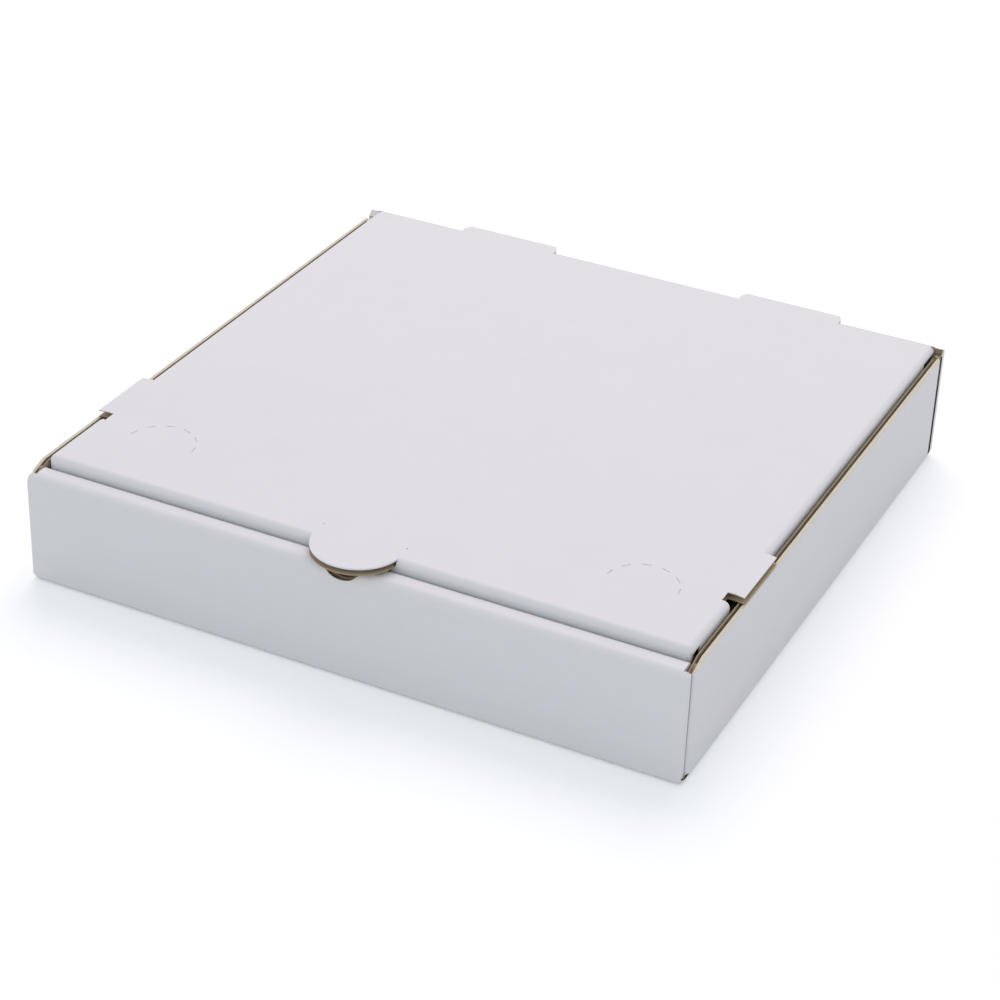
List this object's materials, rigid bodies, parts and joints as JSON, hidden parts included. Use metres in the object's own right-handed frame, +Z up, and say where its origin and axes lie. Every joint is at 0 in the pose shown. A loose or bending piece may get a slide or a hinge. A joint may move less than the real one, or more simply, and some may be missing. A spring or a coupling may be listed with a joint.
{
  "type": "pizza box",
  "caption": "Square low pizza box folded from white corrugated board, with a hinged lid, a roll-over front wall, a thumb tab, side ears and rear tabs.",
  "frame": {"origin": "middle of the outside of the base, on the surface the box lies on", "axes": "+X is the box's right seen from the front, -Y is the front with the thumb tab, +Y is the hinge side, +Z is up"},
  "size_m": [0.26, 0.2646, 0.0488],
  "materials": {
    "tray_board": "matte white outer liner, kraft brown inside and on cut edges",
    "lid_board": "matte white outer liner, kraft brown inside and on cut edges"
  },
  "bodies": {
    "tray": {"tray": "tray_board"},
    "lid": {"lid": "lid_board"}
  },
  "joints": [
    {"name": "lid_hinge", "type": "hinge", "parent": "tray", "child": "lid", "pos_m": [0, 0.12755, 0.04835], "axis": [-1, 0, 0], "range_deg": [0, 180]}
  ]
}
